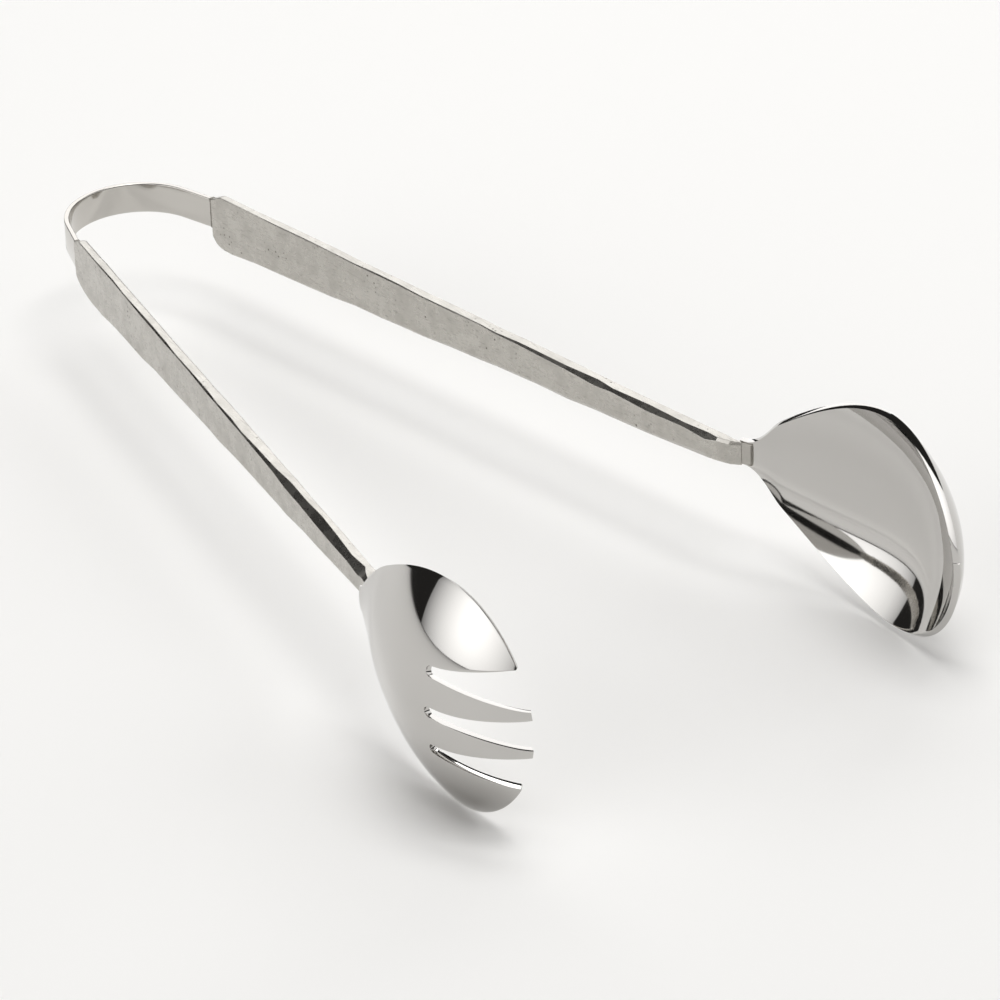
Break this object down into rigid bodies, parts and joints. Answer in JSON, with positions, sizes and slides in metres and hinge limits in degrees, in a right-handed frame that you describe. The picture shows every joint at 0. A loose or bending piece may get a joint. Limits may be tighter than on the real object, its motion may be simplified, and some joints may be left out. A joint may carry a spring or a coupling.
{
  "type": "serving tongs",
  "caption": "Sprung serving tongs: a spoon head and a slotted fork head on forged flat handles joined by a bent steel strip.",
  "frame": {"origin": "centre of the bow's curve, in the mid-plane of the strip", "axes": "+X from the bow to the heads, +Y towards the spoon arm, -Y towards the fork arm, +Z along the axis of the bow's curve, about which the arms swing"},
  "size_m": [0.2648, 0.132, 0.0528],
  "materials": {
    "polished_strip": "mirror-polished spring stainless steel",
    "forged_steel": "hammer-forged stainless steel with satin flats and burnished edges",
    "polished_head": "mirror-polished pressed stainless steel",
    "weld": "dull, pitted weld bead"
  },
  "bodies": {
    "bow": {"spring_bow": "polished_strip"},
    "spoon_arm": {"spoon_handle": "forged_steel", "spoon_bowl": "polished_head", "bow_spoon_weld": "weld", "spoon_neck_weld": "weld"},
    "fork_arm": {"fork_handle": "forged_steel", "fork_bowl": "polished_head", "bow_fork_weld": "weld", "fork_neck_weld": "weld"}
  },
  "joints": [
    {"name": "spoon_flex", "type": "hinge", "parent": "bow", "child": "spoon_arm", "pos_m": [-0.0087, 0.0116, 0], "axis": [0, 0, -1], "range_deg": [-2, 11.7], "stiffness_Nm_per_rad": 7, "deforming": ["spring_bow"]},
    {"name": "fork_flex", "type": "hinge", "parent": "bow", "child": "fork_arm", "pos_m": [-0.0087, -0.0116, 0], "axis": [0, 0, 1], "range_deg": [-2, 11.7], "stiffness_Nm_per_rad": 7, "deforming": ["spring_bow"]}
  ],
  "couplings": [
    {"joint": "fork_flex", "follows": "spoon_flex", "ratio": 1}
  ]
}
